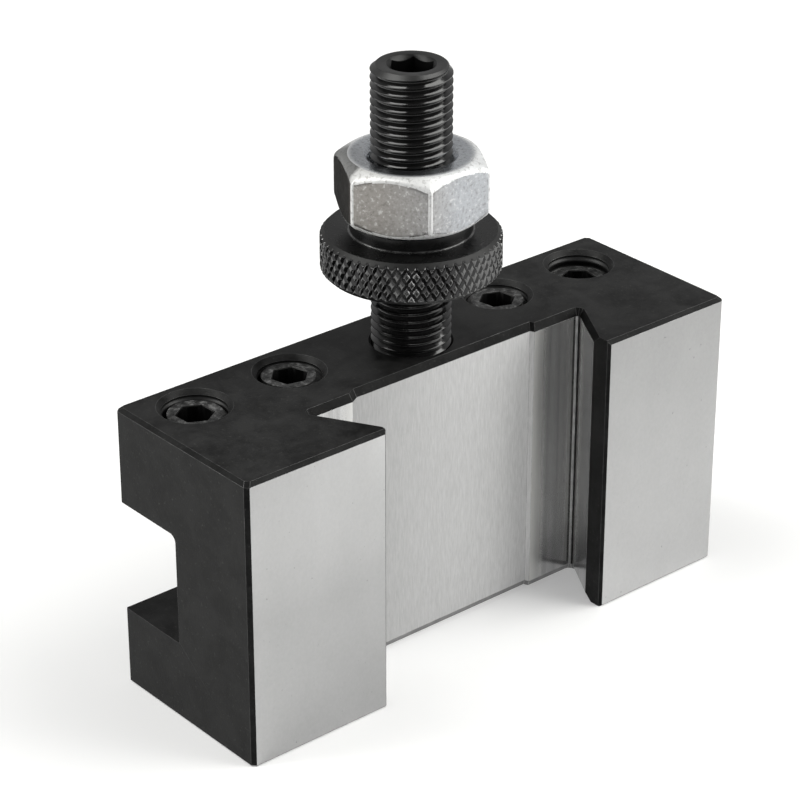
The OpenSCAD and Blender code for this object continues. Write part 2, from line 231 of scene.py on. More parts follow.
@dataclass
class Screw:
    """Sizes of a screw with a hexagon socket on top and a cup below, in millimetres.

    Both ends are bevelled down to the radius end_r, and widen from there by end_slope
    per millimetre of height. The socket's mouth is bevelled along the hexagon by
    socket_bevel, or opened out to the round mouth_r. turn is the direction of one of
    its corners in degrees, and phase is how far the thread is turned, in full turns.
    """

    axis: tuple
    radius: float
    pitch: float
    low: float
    high: float
    end_r: float
    end_slope: float
    flats: float
    socket_depth: float
    socket_bevel: float
    mouth_r: float
    turn: float
    cup_r: float
    cup_depth: float
    phase: float

    def radius_at(self, z, lag):
        """Radius of the thread at a height, cut back by the bevels at both ends."""
        r = self.radius - thread_depth((z - self.low) / self.pitch - lag) * self.pitch
        below_top = self.end_r + (self.high - z) * self.end_slope
        above_foot = self.end_r + (z - self.low) * self.end_slope
        return min(r, below_top, above_foot)

    def foot(self, lag):
        """Profile of the lower end, from the bottom of the cup to the thread."""
        return [
            (0.0, self.low + self.cup_depth),
            (self.cup_r - RIM, self.low + RIM),
            (self.cup_r + RIM, self.low),
            (self.radius_at(self.low, lag) - RIM, self.low),
        ]

    def side(self, lag):
        """Profile of the thread, from the foot to the top."""
        turns = math.ceil((self.high - self.low) / self.pitch) + 1
        points = []
        for k in range(-2, turns):
            for place, _ in THREAD_FORM:
                z = min(max(self.low + (k + place + lag) * self.pitch, self.low), self.high)
                points.append((self.radius_at(z, lag), z))
        return points

    def head(self, angle, lag):
        """Profile of the upper end, from the thread to the drilled foot of the socket."""
        mouth_flats = self.flats + 2 * self.socket_bevel
        wall_r = hex_radius(angle, self.flats, self.turn, SOCKET_ROUNDING)
        rim_r = max(self.mouth_r, hex_radius(angle, mouth_flats, self.turn, SOCKET_ROUNDING))
        drill_r = self.flats / 2 - DRILL_GAP
        mouth_z = self.high - rim_r + wall_r
        floor_z = self.high - self.socket_depth
        return [
            (self.radius_at(self.high, lag) - RIM, self.high),
            (rim_r + RIM, self.high),
            (rim_r, self.high - RIM / 2),
            (wall_r + RIM, mouth_z + RIM / 2),
            (wall_r, mouth_z - RIM),
            (wall_r, floor_z),
            (drill_r, floor_z - RIM),
            (0.0, floor_z - drill_r / 2),
        ]

    def finish_at(self, face):
        """Which finish a face has, from its place and direction."""
        centre = face.center / MM
        depth = self.high - centre.z
        # The socket and its mouth take a darker, duller copy of the black steel, a painted shade in
        # the hollow.
        socket_r = max(self.mouth_r, self.flats * SOCKET_REACH)
        if RIM / 3 < depth < 2 * self.socket_depth and from_axis(centre, self.axis) < socket_r:
            return SOCKET
        if depth < (self.radius - self.end_r) / self.end_slope:
            return END if face.normal.z > SQUARE else LIP
        return THREAD


def screw_mesh(name, screw):
    """A screw with a true right-hand thread."""

    def column(angle):
        lag = angle / (2 * math.pi) - screw.phase
        return screw.foot(lag) + screw.side(lag) + screw.head(angle, lag)

    obj = shell(name, screw.axis, full_turn(SCREW_COLUMNS, screw.turn), column)
    give_finishes(obj, screw.finish_at)
    return obj


# Block

FRONT_Y = BLOCK_LOW.y
GROOVE_DEPTH = 9.5
FLOOR_Y = FRONT_Y + GROOVE_DEPTH
RELIEF_DEPTH = 0.6
RELIEF_Y = FLOOR_Y + RELIEF_DEPTH
END_BEVEL = 0.55
# A place just past the groove's widest point, the width of the dull strip along its
# roots, and how far its noses reach in from the front.
GROOVE_REACH_X = 22.5
ROOT_WIDTH = 1.5
NOSE_DEPTH = 1

# Radius of the clamp holes, and how far their countersinks reach past it.
CLAMP_HOLE_R = 4.05
COUNTERSINK = 1.3
# Axis and radius of each hole in the block.
HOLES = [(middle_of(low, high), CLAMP_HOLE_R) for low, high in CLAMP_BOXES.values()]
HOLES.append((STUD_AXIS, BORE_R + SKIN))

# Width of the fine breaks along the block's hard edges, and the least angle of an
# edge that has one, in degrees.
EDGE_BREAK = 0.07
HARD_ANGLE = 22


def hole_finish(corners, n):
    """Finish of a face in one of the holes or on a countersink, None for another face."""
    for axis, r in HOLES:
        reach = max(from_axis(c, axis) for c in corners)
        if abs(n.z) < TILTED and reach < r:
            return HOLE
        if n.z < SQUARE and reach < r + COUNTERSINK:
            return BLACK
    return None


def groove_finish(centre, n):
    """Finish of a face in the groove or on its lower end bevels, None for another face."""
    if abs(centre.x) >= GROOVE_REACH_X:
        return None
    past_nose = centre.y > FRONT_Y + NOSE_DEPTH
    if centre.y < RELIEF_Y + SKIN and abs(n.z) < ALONG and abs(n.x) < SQUARE:
        if centre.y > FLOOR_Y + SKIN:
            return RELIEF
        if abs(centre.x) > GROOVE_REACH_X - ROOT_WIDTH and -SQUARE < n.y < TILTED:
            return ROOT
        if past_nose:
            return STRIP
    if centre.y < RELIEF_Y + END_BEVEL and -SQUARE < n.z < -TILTED and past_nose:
        return ROOT
    return None


def block_finish(face):
    """Which finish a face of the block has, from its place and direction."""
    centre = face.calc_center_median() / MM
    corners = [v.co / MM for v in face.verts]
    n = face.normal
    at_hole = hole_finish(corners, n)
    if at_hole is not None:
        return at_hole
    if n.y < -0.98 and centre.y < FRONT_Y + SKIN:
        return GROUND
    at_groove = groove_finish(centre, n)
    if at_groove is not None:
        return at_groove
    if max(abs(n.x), abs(n.y), abs(n.z)) < SQUARE:
        return BREAK
    # Upright faces take a darker copy of the black finish, a painted shade on the block's sides.
    return BLACK if abs(n.z) > 0.5 else SHADED_SIDE


def break_edges(bm):
    """Bevel the hard edges finely, but for those between two faces of the strips."""
    hard = [
        e
        for e in bm.edges
        if len(e.link_faces) == 2
        and e.calc_face_angle(0) > math.radians(HARD_ANGLE)
        and [f.material_index for f in e.link_faces] != [STRIP, STRIP]
    ]
    bmesh.ops.bevel(
        bm,
        geom=hard,
        offset=EDGE_BREAK * MM,
        segments=2,
        profile=0.6,
        affect="EDGES",
        clamp_overlap=True,
        material=EDGE,
    )


def brighten_ridges(bm):
    """Give a break beside a bright face the finish of a bright ridge."""
    for face in bm.faces:
        beside = {f.material_index for e in face.edges for f in e.link_faces}
        if face.material_index == EDGE and beside & {GROUND, RELIEF, STRIP, ROOT}:
            face.material_index = RIDGE


def block_mesh(name):
    """The block from its CAD solid, with its finishes and with fine breaks along its edges."""
    bm = bmesh.new()
    bm.from_mesh(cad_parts["holder_block"].data)
    bmesh.ops.remove_doubles(bm, verts=bm.verts, dist=MERGE * 10)
    bmesh.ops.dissolve_limit(bm, angle_limit=math.radians(0.6), verts=bm.verts, edges=bm.edges)
    for face in bm.faces:
        face.material_index = block_finish(face)
    break_edges(bm)
    brighten_ridges(bm)
    bmesh.ops.triangulate(bm, faces=[f for f in bm.faces if len(f.verts) > 4])
    obj = link_mesh(name, bm, smooth_angle=60)
    level = obj.modifiers.new("level", "WEIGHTED_NORMAL")
    level.keep_sharp = True
    level.weight = 100
    return obj


# Collar: a disc with a diamond knurl between two bevels, and a plain hub on top

COLLAR_R = (COLLAR_HIGH.x - COLLAR_LOW.x) / 2
DISC_HEIGHT = 5.3
DISC_TOP = COLLAR_LOW.z + DISC_HEIGHT
DISC_FACE_R = COLLAR_R - 0.62
HUB_R = 7.5
HUB_BEVEL = 0.25
HUB_FILLET = 0.22
BORE_MOUTH = 0.35
TURNED_ROUNDING = 0.08

# Tips around the knurl, height from one row of tips to the next, depth of its grooves,
# their share of a diamond, and the cells along half a diamond.
KNURL_TIPS = 58
KNURL_ROW = 1.03
KNURL_DEPTH = 0.29
KNURL_GROOVE = 0.55
KNURL_CELLS = 8
KNURL_REACH = math.ceil(DISC_HEIGHT / 2 / KNURL_ROW * KNURL_CELLS)
KNURL_STEPS = range(-KNURL_REACH, KNURL_REACH + 1)


def knurl_radius(u, v):
    """Radius at u half tips around and v rows up: flat diamonds between narrow grooves."""
    a, b = (u + v) / 2, (u - v) / 2
    height = 1 - 2 * max(abs(a - round(a)), abs(b - round(b)))
    return COLLAR_R - KNURL_DEPTH * (1 - min(height / KNURL_GROOVE, 1.0))


def disc_limit(z):
    """Radius of the disc's end bevels, carried on over the whole of its height."""
    return DISC_FACE_R + min(z - COLLAR_LOW.z, DISC_TOP - z)


def knurled_side(angle):
    """Profile of the knurled side, cut back by the bevels."""
    u = angle / math.pi * KNURL_TIPS
    middle = COLLAR_LOW.z + DISC_HEIGHT / 2
    side = []
    for k in KNURL_STEPS:
        v = k / KNURL_CELLS
        z = min(max(middle + v * KNURL_ROW, COLLAR_LOW.z), DISC_TOP)
        side.append((min(knurl_radius(u, v), disc_limit(z)), z))
    return side


def collar_foot():
    """Profile of the bore and the lower face, up to the knurled side.

    The bore's wall is left open for a short way near its top, where the stud hides it.
    """
    low = COLLAR_LOW.z
    mouth = [(BORE_R, low + BORE_MOUTH), (BORE_R + BORE_MOUTH, low)]
    return soften([(BORE_R, COLLAR_HIGH.z - 1), *mouth, (DISC_FACE_R, low)], TURNED_ROUNDING)


def collar_crown():
    """Profile from the knurled side over the disc's upper face and the hub into the bore."""
    top = COLLAR_HIGH.z
    hub_middle = (HUB_R, (DISC_TOP + top) / 2)
    hub_foot = [(DISC_FACE_R - SKIN, DISC_TOP), (HUB_R, DISC_TOP), hub_middle]
    hub_edge = [(HUB_R, top - HUB_BEVEL), (HUB_R - HUB_BEVEL, top)]
    hub_head = [hub_middle, *hub_edge, (BORE_R, top), (BORE_R, top - 0.5)]
    above_foot = soften(hub_head, TURNED_ROUNDING)[1:]
    return [(DISC_FACE_R, DISC_TOP)] + soften(hub_foot, HUB_FILLET, steps=4) + above_foot


def collar_finish(face):
    """Which finish a face of the collar has, from its place."""
    centre = face.center / MM
    r = from_axis(centre, STUD_AXIS)
    if r < DISC_FACE_R - SKIN:
        # The fillet at the hub's foot is painted as a lighter, glossier ring: a painted highlight for
        # the thin bright line there.
        low_down = centre.z < DISC_TOP + HUB_FILLET
        at_hub_foot = low_down and HUB_R - SKIN < r < HUB_R + HUB_FILLET
        return HIGHLIGHTED_FOOT if at_hub_foot else FACED
    return BEVELLED if r > disc_limit(centre.z) - SKIN else KNURLED


def collar_mesh(name):
    """The height collar, as one turned ring."""
    foot = collar_foot()
    crown = collar_crown()

    def column(angle):
        return foot + knurled_side(angle) + crown

    def split(i, j):
        k = j - len(foot)
        if not 0 <= k < len(KNURL_STEPS) - 1:
            return None
        return (i // KNURL_CELLS + math.floor(KNURL_STEPS[k] / KNURL_CELLS)) % 2 == 0

    angles = full_turn(2 * KNURL_TIPS * KNURL_CELLS)
    obj = shell(name, STUD_AXIS, angles, column, split=split, smooth_angle=38)
    give_finishes(obj, collar_finish)
    return obj


# Nut: a hexagon, bevelled round and countersunk at both ends

NUT_FLATS = 17.0
NUT_TURN = 3.0
NUT_FACE_R = 7.8
NUT_MOUTH = 0.77
NUT_ROUNDING = 0.35
NUT_BEVEL_SLOPE = math.tan(math.radians(30))
# Degrees from a corner to each column of the mesh, finest on the rounded corner.
FROM_CORNER = [0, 0.3, 0.6, 0.9, 1.2, 1.6, 2.4, 3.5, 6, 10, 15, 20, 25, 30]


def nut_angles():
    """Angles of the nut's columns in radians, from corner to corner over a full turn."""
    side = sorted({a for a in FROM_CORNER} | {HEX_STEP - a for a in FROM_CORNER})
    angles = [math.radians(NUT_TURN + HEX_STEP * k + a) for k in range(6) for a in side[:-1]]
    return angles + [angles[0] + 2 * math.pi]


def nut_wall(angle):
    """Radius of the nut's side, and how far below its end the round bevel meets it."""
    wall = hex_radius(angle, NUT_FLATS, NUT_TURN, NUT_ROUNDING)
    return wall, (wall - NUT_FACE_R) * NUT_BEVEL_SLOPE


def nut_column(angle):
    """Profile of the nut, which is the same at both ends.

    The bore's wall is left out in its middle, where the stud hides it.
    """
    wall, drop = nut_wall(angle)
    high = NUT_HIGH.z
    on_face = (BORE_R + 2, high)
    inner = [(BORE_R, high - 2), (BORE_R, high - NUT_MOUTH), (BORE_R + NUT_MOUTH, high), on_face]
    outer = [on_face, (NUT_FACE_R, high), (wall, high - drop), (wall, high - 3)]
    top = soften(inner, 0.12) + soften(outer, 0.9, steps=6)[1:]
    bottom = [(r, NUT_LOW.z + high - z) for r, z in top]
    return bottom + top[::-1]


def nut_finish(face):
    """Which finish a face of the nut has, from its place."""
    centre = face.center / MM
    if from_axis(centre, STUD_AXIS) < NUT_FACE_R - 0.1:
        return NUT_END
    wall, drop = nut_wall(math.atan2(centre.y - STUD_AXIS[1], centre.x - STUD_AXIS[0]))
    near_end = min(centre.z - NUT_LOW.z, NUT_HIGH.z - centre.z) < drop + 0.3
    near_corner = wall > NUT_FLATS / math.sqrt(3) - NUT_ROUNDING / 2
    return NUT_RIM if near_end or near_corner else NUT_SIDE


def nut_mesh(name):
    """The hexagon lock nut."""
    obj = shell(name, STUD_AXIS, nut_angles(), nut_column, smooth_angle=40)
    give_finishes(obj, nut_finish)
    return obj


# Materials


class Look:
    """A material being made: its shader, and the noise and colour that drive it.

    Plain values of the shader are given by the names of its sockets, with _ for a space.
    """

    def __init__(self, name, **sockets):
        self.material = bpy.data.materials.new(name)
        self.material.use_nodes = True
        self.tree = self.material.node_tree
        self.shader = self.tree.nodes["Principled BSDF"]
        self.coords = self.tree.nodes.new("ShaderNodeTexCoord").outputs["Object"]
        for socket, value in sockets.items():
            self.shader.inputs[socket.replace("_", " ")].default_value = value

    def link(self, source, target):
        self.tree.links.new(source, target)

    def drive(self, socket, source):
        """Link a value or colour to a socket of the shader."""
        self.link(source, self.shader.inputs[socket])

    def feed(self, value, socket):
        """Link a socket, or set a plain number or colour."""
        if isinstance(value, bpy.types.NodeSocket):
            self.link(value, socket)
        elif socket.type == "RGBA":
            rgb = value if isinstance(value, tuple) else (value, value, value)
            socket.default_value = (*rgb, 1.0)
        else:
            socket.default_value = value

    def noise(self, scale, detail=3.0, roughness=0.55, distortion=0.0):
        """Noise whose scale is features per metre, one number or one each for X, Y and Z."""
        place = self.tree.nodes.new("ShaderNodeMapping")
        place.inputs["Scale"].default_value = scale if isinstance(scale, tuple) else (scale,) * 3
        self.link(self.coords, place.inputs["Vector"])
        tex = self.tree.nodes.new("ShaderNodeTexNoise")
        tex.inputs["Scale"].default_value = 1.0
        tex.inputs["Detail"].default_value = detail
        tex.inputs["Roughness"].default_value = roughness
        tex.inputs["Distortion"].default_value = distortion
        self.link(place.outputs["Vector"], tex.inputs["Vector"])
        return tex.outputs["Fac"]

    def ramp(self, source, stops):
        """Colours along a value. Each stop is (place, grey) or (place, (r, g, b))."""
        node = self.tree.nodes.new("ShaderNodeValToRGB")
        points = node.color_ramp.elements
        while len(points) < len(stops):
            points.new(0.5)
        for point, (place, colour) in zip(points, stops):
            point.position = place
            rgb = colour if isinstance(colour, tuple) else (colour, colour, colour)
            point.color = (*rgb, 1.0)
        self.link(source, node.inputs["Fac"])
        return node.outputs["Color"]

    def mix(self, factor, first, second, mode="MIX"):
        """Two colours mixed by a factor. Each may be a socket, a number or a colour."""
        node = self.tree.nodes.new("ShaderNodeMix")
        node.data_type = "RGBA"
        node.blend_type = mode
        slots = [s for s in node.inputs if s.type == "RGBA"]
        self.feed(factor, node.inputs["Factor"])
        self.feed(first, slots[0])
        self.feed(second, slots[1])
        return next(s for s in node.outputs if s.type == "RGBA")

    def shade(self, base, by):
        """One colour multiplied by another."""
        return self.mix(1.0, base, by, "MULTIPLY")

    def math(self, operation, first, second=None):
        """The result of a sum on one or two values."""
        node = self.tree.nodes.new("ShaderNodeMath")
        node.operation = operation
        self.feed(first, node.inputs[0])
        if second is not None:
            self.feed(second, node.inputs[1])
        return node.outputs[0]

    def range(self, source, low, high):
        """0 at low, 1 at high, and straight in between."""
        node = self.tree.nodes.new("ShaderNodeMapRange")
        node.inputs["From Min"].default_value = low
        node.inputs["From Max"].default_value = high
        self.link(source, node.inputs["Value"])
        return node.outputs["Result"]

    def range_mm(self, source, low, high):
        """The same for a distance in metres, between two places in millimetres."""
        return self.range(source, low * MM, high * MM)

    def place(self, direction):
        """One coordinate of the piece, X, Y or Z, in metres."""
        parts = self.tree.nodes.new("ShaderNodeSeparateXYZ")
        self.link(self.coords, parts.inputs[0])
        return parts.outputs[direction]

    def axis_distance(self, axis):
        """Distance in metres from an upright axis given in millimetres."""
        dx = self.math("SUBTRACT", self.place("X"), axis[0] * MM)
        dy = self.math("SUBTRACT", self.place("Y"), axis[1] * MM)
        squares = self.math("ADD", self.math("MULTIPLY", dx, dx), self.math("MULTIPLY", dy, dy))
        return self.math("SQRT", squares)

    def bump(self, height, distance):
        """Raise the surface along a height, by at most distance in millimetres."""
        node = self.tree.nodes.new("ShaderNodeBump")
        node.inputs["Distance"].default_value = distance * MM
        self.link(height, node.inputs["Height"])
        self.drive("Normal", node.outputs["Normal"])


def black_oxide(name, dark, light, rough, shine):
    """Blackened steel: faint clouds and specks over a satin, slightly grained skin."""
    look = Look(name, Metallic=0.0, Specular_IOR_Level=shine)
    clouds = look.noise(230, 6.0, 0.7, 0.4)
    specks = look.noise(2600, 2.0, 0.6)
    base = look.ramp(clouds, [(0.38, dark), (0.62, light)])
    marks = look.ramp(specks, [(0.62, 0.0), (0.78, 1.0)])
    look.drive("Base Color", look.mix(look.math("MULTIPLY", marks, 0.3), base, (0.08, 0.08, 0.075)))
    look.drive("Roughness", look.ramp(clouds, [(0.25, rough - 0.06), (0.75, rough + 0.08)]))
    look.bump(look.noise(3500, 3.0, 0.6), 0.012)
    return look.material


def groove_steel(name):
    """Milled steel beside the relief and on the flanks, painted paler and duller near the relief and
    the roots, a painted highlight for the bright bands there.
    """
    look = Look(name, Metallic=1.0)
    fine = look.noise((7000, 7000, 400), 4.0, 0.6)
    bands = look.noise((900, 900, 12), 3.0, 0.6)
    base = look.ramp(fine, [(0.25, 0.44), (0.75, 0.56)])
    streaks = look.ramp(bands, [(0.35, 0.75), (0.65, 1.0)])
    reach = look.math("ABSOLUTE", look.place("X"))
    # Painted highlight: the strip turns pale and dull near the relief and near the roots.
    near_relief = look.range_mm(reach, 17.0, 14.4)
    near_root = look.range_mm(reach, GROOVE_REACH_X - ROOT_WIDTH, GROOVE_REACH_X - 0.7)
    paler_duller = look.math("MAXIMUM", near_relief, near_root)
    look.drive("Base Color", look.mix(paler_duller, look.shade(base, streaks), (0.7, 0.7, 0.68)))
    look.drive("Roughness", look.mix(paler_duller, 0.17, 0.42))
    look.drive("Metallic", look.mix(paler_duller, 1.0, 0.75))
    look.bump(fine, 0.003)
    return look.material


def relief_steel(name):
    """Milled steel of the relief: dull, with upright dashes, and painted lighter towards its right
    end against the right jaw's shade.
    """
    look = Look(name, Metallic=0.4)
    dashes = look.noise((6500, 6500, 700), 4.0, 0.6)
    # Painted light: the relief's colour grows lighter towards its right end, to offset the shade of
    # the right jaw.
    painted_light_across = look.range_mm(look.place("X"), -15, 15)
    dark = look.ramp(painted_light_across, [(0.0, 0.345), (1.0, 0.53)])
    light = look.ramp(painted_light_across, [(0.0, 0.45), (1.0, 0.7)])
    stroke = look.ramp(dashes, [(0.25, 0.0), (0.75, 1.0)])
    look.drive("Base Color", look.mix(stroke, dark, light))
    look.drive("Roughness", look.ramp(dashes, [(0.2, 0.45), (0.8, 0.57)]))
    look.bump(dashes, 0.015)
    return look.material


def jaw_steel(name):
    """Ground steel of the jaw faces, with painted shade: the left one darkens downward, the right one
    upward.
    """
    look = Look(name, Metallic=1.0)
    fine = look.noise((3200, 3200, 2200), 4.0, 0.6)
    patches = look.noise((160, 160, 90), 3.0, 0.5)
    pits = look.noise(1500, 2.0, 0.5)
    base = look.ramp(fine, [(0.25, 0.615), (0.75, 0.675)])
    stains = look.ramp(patches, [(0.3, 0.94), (0.7, 1.0)])
    height = look.range_mm(look.place("Z"), BLOCK_LOW.z, BLOCK_HIGH.z)
    # Painted shade: the left jaw is painted darker towards the bottom and the right jaw darker
    # towards the top.
    left = look.ramp(height, [(0.0, 0.655), (0.5, 0.65), (1.0, 0.9)])
    right = look.ramp(height, [(0.0, 0.83), (0.5, 0.7), (1.0, 0.555)])
    side = look.range_mm(look.place("X"), -1, 1)
    stains_and_painted_shade = look.shade(look.shade(base, look.mix(side, left, right)), stains)
    pitted = look.math("MULTIPLY", look.ramp(pits, [(0.7, 0.0), (0.76, 1.0)]), 0.5)
    look.drive("Base Color", look.mix(pitted, stains_and_painted_shade, (0.12, 0.12, 0.12)))
    look.drive("Roughness", look.ramp(fine, [(0.2, 0.28), (0.8, 0.36)]))
    look.bump(fine, 0.006)
    return look.material


def worn_edge(name, dark, mid, light, rough=0.42):
    """Broken edges, where the blackening is rubbed through to grey steel in places. On the set
    screws' lips and the hub's foot it is also a painted highlight.
    """
    look = Look(name, Metallic=0.6, Roughness=rough)
    wear = look.noise(700, 4.0, 0.7)
    look.drive("Base Color", look.ramp(wear, [(0.35, dark), (0.6, mid), (0.8, light)]))
    look.bump(look.noise(4000), 0.01)
    return look.material


def tapped_wall(name, pitch):
    """Wall of a tapped hole: dark, with thread grooves run around it."""
    look = Look(name, Metallic=0.3, Roughness=0.45)
    look.drive("Base Color", look.ramp(look.noise(900), [(0.3, 0.008), (0.7, 0.02)]))
    wave = look.math("SINE", look.math("MULTIPLY", look.place("Z"), 2 * math.pi / (pitch * MM)))
    look.bump(wave, 0.15)
    return look.material


def glossy_black(name, rough, shine, dark=0.003, light=0.008):
    """Oiled black steel of the stud, the set screws and the collar."""
    look = Look(name, Metallic=0.0, IOR=1.8, Specular_IOR_Level=shine)
    clouds = look.noise(400, 3.0, 0.6)
    look.drive("Base Color", look.ramp(clouds, [(0.3, dark), (0.75, light)]))
    look.drive("Roughness", look.ramp(clouds, [(0.25, rough - 0.05), (0.75, rough + 0.08)]))
    look.bump(look.noise(2500, 3.0), 0.008)
    return look.material


def worn_black(name):
    """Blackened steel rubbed grey in spots, with the rough skin of a hardened screw's end."""
    look = Look(name, Metallic=0.3, Specular_IOR_Level=0.4)
    wear = look.noise(1100, 5.0, 0.7)
    look.drive("Base Color", look.ramp(wear, [(0.36, 0.007), (0.52, 0.04), (0.7, 0.22)]))
    look.drive("Roughness", look.ramp(wear, [(0.3, 0.5), (0.7, 0.34)]))
    look.bump(wear, 0.12)
    return look.material


def zinc_plate(name, left_colour, right_colour, far_shade, rough, metal=1.0, rim=None):
    """Zinc plating with stains and specks, going from left_colour on the left to right_colour on the
    right; on the nut's sides the left is painted darker, a painted shade.

    The left side's back half is painted darker by far_shade, a painted shade. Towards the radius rim,
    in millimetres, the plating turns into paler and duller rubbed metal.
    """
    look = Look(name, Metallic=metal)
    stains = look.noise(260, 4.0, 0.6)
    specks = look.noise(2200, 3.0, 0.65)
    # Painted shade: the colour runs from left to right across the nut, darker on the left of its
    # sides.
    side = look.range_mm(look.place("X"), NUT_LOW.x * 0.8, 0.0)
    base = look.shade(look.mix(side, left_colour, right_colour), look.ramp(stains, [(0.3, 0.84), (0.7, 1.0)]))
    dark_specks = look.math("MULTIPLY", look.ramp(specks, [(0.52, 0.0), (0.68, 1.0)]), 0.5)
    pale_specks = look.math("MULTIPLY", look.ramp(specks, [(0.34, 1.0), (0.42, 0.0)]), 0.45)
    dotted = look.mix(dark_specks, base, (0.16, 0.15, 0.135))
    dotted = look.mix(pale_specks, dotted, (0.75, 0.75, 0.74))
    # Painted shade: the back half of the left side is darkened by far_shade.
    behind = look.range_mm(look.place("Y"), STUD_AXIS[1], STUD_AXIS[1] + 0.6)
    left = look.range_mm(look.place("X"), -3, -5)
    far = look.math("MULTIPLY", behind, left)
    toned_with_painted_shade = look.mix(far, dotted, look.shade(dotted, far_shade))
    if rim:
        paler_duller = look.range_mm(look.axis_distance(STUD_AXIS), rim - 0.7, rim)
        toned_with_painted_shade = look.mix(paler_duller, toned_with_painted_shade, (0.82, 0.83, 0.84))
        look.drive("Metallic", look.mix(paler_duller, metal, 0.5))
    look.drive("Base Color", toned_with_painted_shade)
    look.drive("Roughness", look.ramp(stains, [(0.25, rough - 0.06), (0.75, rough + 0.06)]))
    look.bump(specks, 0.03)
    return look.material


def pale_floor(name):
    """Plain pale studio floor, lit a little from below as a light table is."""
    look = Look(name, Roughness=0.8, Specular_IOR_Level=0.2, Emission_Strength=0.28)
    look.shader.inputs["Emission Color"].default_value = (1.0, 1.0, 1.0, 1.0)
    look.drive("Base Color", look.ramp(look.noise(3, 2.0), [(0.3, 0.74), (0.7, 0.76)]))
    return look.material


def dull_card(name, grey):
    """Even dull card of one grey."""
    look = Look(name, Roughness=0.9, Specular_IOR_Level=0.0)
    look.shader.inputs["Base Color"].default_value = (grey, grey, grey, 1.0)
    return look.material


# Pieces


def dress(obj, node, body, finishes):
    """obj stands for a CAD node, rides on its body and wears its finishes."""
    for material in finishes:
        obj.data.materials.append(material)
    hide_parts(node)
    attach(obj, body)


def make_block():
    obj = block_mesh("block")
    finishes = [
        black_oxide("block_black", dark=0.0045, light=0.0185, rough=0.42, shine=0.145),
        jaw_steel("block_ground"),
        relief_steel("block_relief"),
        groove_steel("block_strip"),
        black_oxide("block_break", dark=0.003, light=0.014, rough=0.5, shine=0.08),
        worn_edge("block_edge", dark=0.02, mid=0.06, light=0.16),
        worn_edge("block_ridge", dark=0.3, mid=0.5, light=0.7),
        tapped_wall("block_tapped", CLAMP_PITCH),
        worn_edge("block_root", dark=0.16, mid=0.24, light=0.34),
        # A darker copy of the black finish for the upright faces: painted shade.
        black_oxide("block_side_shaded", dark=0.004, light=0.014, rough=0.44, shine=0.115),
    ]
    dress(obj, "holder_block", "holder", finishes)


def clamp_screw(k, turn):
    """Sizes of set screw number k, whose socket is turned by turn degrees."""
    low, high = CLAMP_BOXES[k]
    radius = (high.x - low.x) / 2
    return Screw(
        axis=middle_of(low, high),
        radius=radius,
        pitch=CLAMP_PITCH,
        low=low.z,
        high=high.z,
        end_r=radius - 0.62,
        end_slope=1.0,
        flats=4.0,
        socket_depth=4.5,
        socket_bevel=0.1,
        mouth_r=0.0,
        turn=turn,
        cup_r=2.25,
        cup_depth=2.25,
        phase=0.21 * k,
    )


def make_clamp_screws():
    socket_turns = {1: 32.0, 2: 45.0, 3: 38.0, 4: 20.0}
    finishes = [
        glossy_black("screw_black", rough=0.24, shine=0.4),
        worn_black("screw_end"),
        # The socket finish is the same black steel painted darker and duller, a painted shade.
        glossy_black("screw_socket", rough=0.4, shine=0.1, dark=0.001, light=0.003),
        # The lips are painted light grey, partly rubbed steel and partly a painted highlight for the
        # rims' bright ring.
        worn_edge("screw_lip", dark=0.04, mid=0.12, light=0.34, rough=0.3),
    ]
    for k, turn in socket_turns.items():
        obj = screw_mesh(f"screw_{k}", clamp_screw(k, turn))
        dress(obj, f"clamp_screw_{k}", f"screw_{k}", finishes)


def stud_screw():
    """Sizes of the stud."""
    return Screw(
        axis=STUD_AXIS,
        radius=STUD_R,
        pitch=STUD_PITCH,
        low=STUD_LOW.z,
        high=STUD_HIGH.z,
        end_r=STUD_R - 0.7,
        end_slope=1.2,
        flats=5.0,
        socket_depth=5.0,
        socket_bevel=0.0,
        mouth_r=3.04,
        turn=45.0,
        cup_r=2.6,
        cup_depth=0.6,
        phase=0.0,
    )


def make_stud():
    obj = screw_mesh("stud", stud_screw())
    finishes = [
        glossy_black("stud_black", rough=0.11, shine=0.32),
        glossy_black("stud_end", rough=0.42, shine=0.25, dark=0.006, light=0.012),
        # The socket finish is the same black steel painted darker and duller, a painted shade.
        glossy_black("stud_socket", rough=0.35, shine=0.15, dark=0.001, light=0.003),
        glossy_black("stud_lip", rough=0.36, shine=0.28, dark=0.006, light=0.013),
    ]
    dress(obj, "height_stud", "holder", finishes)


def make_collar():
    obj = collar_mesh("collar")
    finishes = [
        glossy_black("collar_knurl", rough=0.1, shine=0.75, dark=0.002, light=0.005),
        glossy_black("collar_bevel", rough=0.42, shine=0.13, dark=0.007, light=0.013),
        glossy_black("collar_face", rough=0.26, shine=0.13, dark=0.003, light=0.006),
        # The hub's foot is painted light, a painted highlight.
        worn_edge("collar_foot", dark=0.02, mid=0.1, light=0.3, rough=0.16),
    ]
    dress(obj, "height_collar", "collar", finishes)


def make_nut():
    obj = nut_mesh("nut")
    finishes = [
        # Painted shade: the sides are coloured darker on the left, and each finish is darkened at the
        # back of its left side by far_shade.
        zinc_plate("nut_side", (0.335, 0.319, 0.3), (0.44, 0.455, 0.48), far_shade=0.42, rough=0.3),
        zinc_plate(
            "nut_end",
            (0.72, 0.745, 0.775),
            (0.7, 0.73, 0.77),
            far_shade=0.8,
            rough=0.26,
            rim=NUT_FACE_R,
        ),
        zinc_plate(
            "nut_rim",
            (0.8, 0.8, 0.79),
            (0.8, 0.81, 0.82),
            far_shade=0.3,
            rough=0.45,
            metal=0.4,
        ),
    ]
    dress(obj, "lock_nut", "nut", finishes)


# Studio

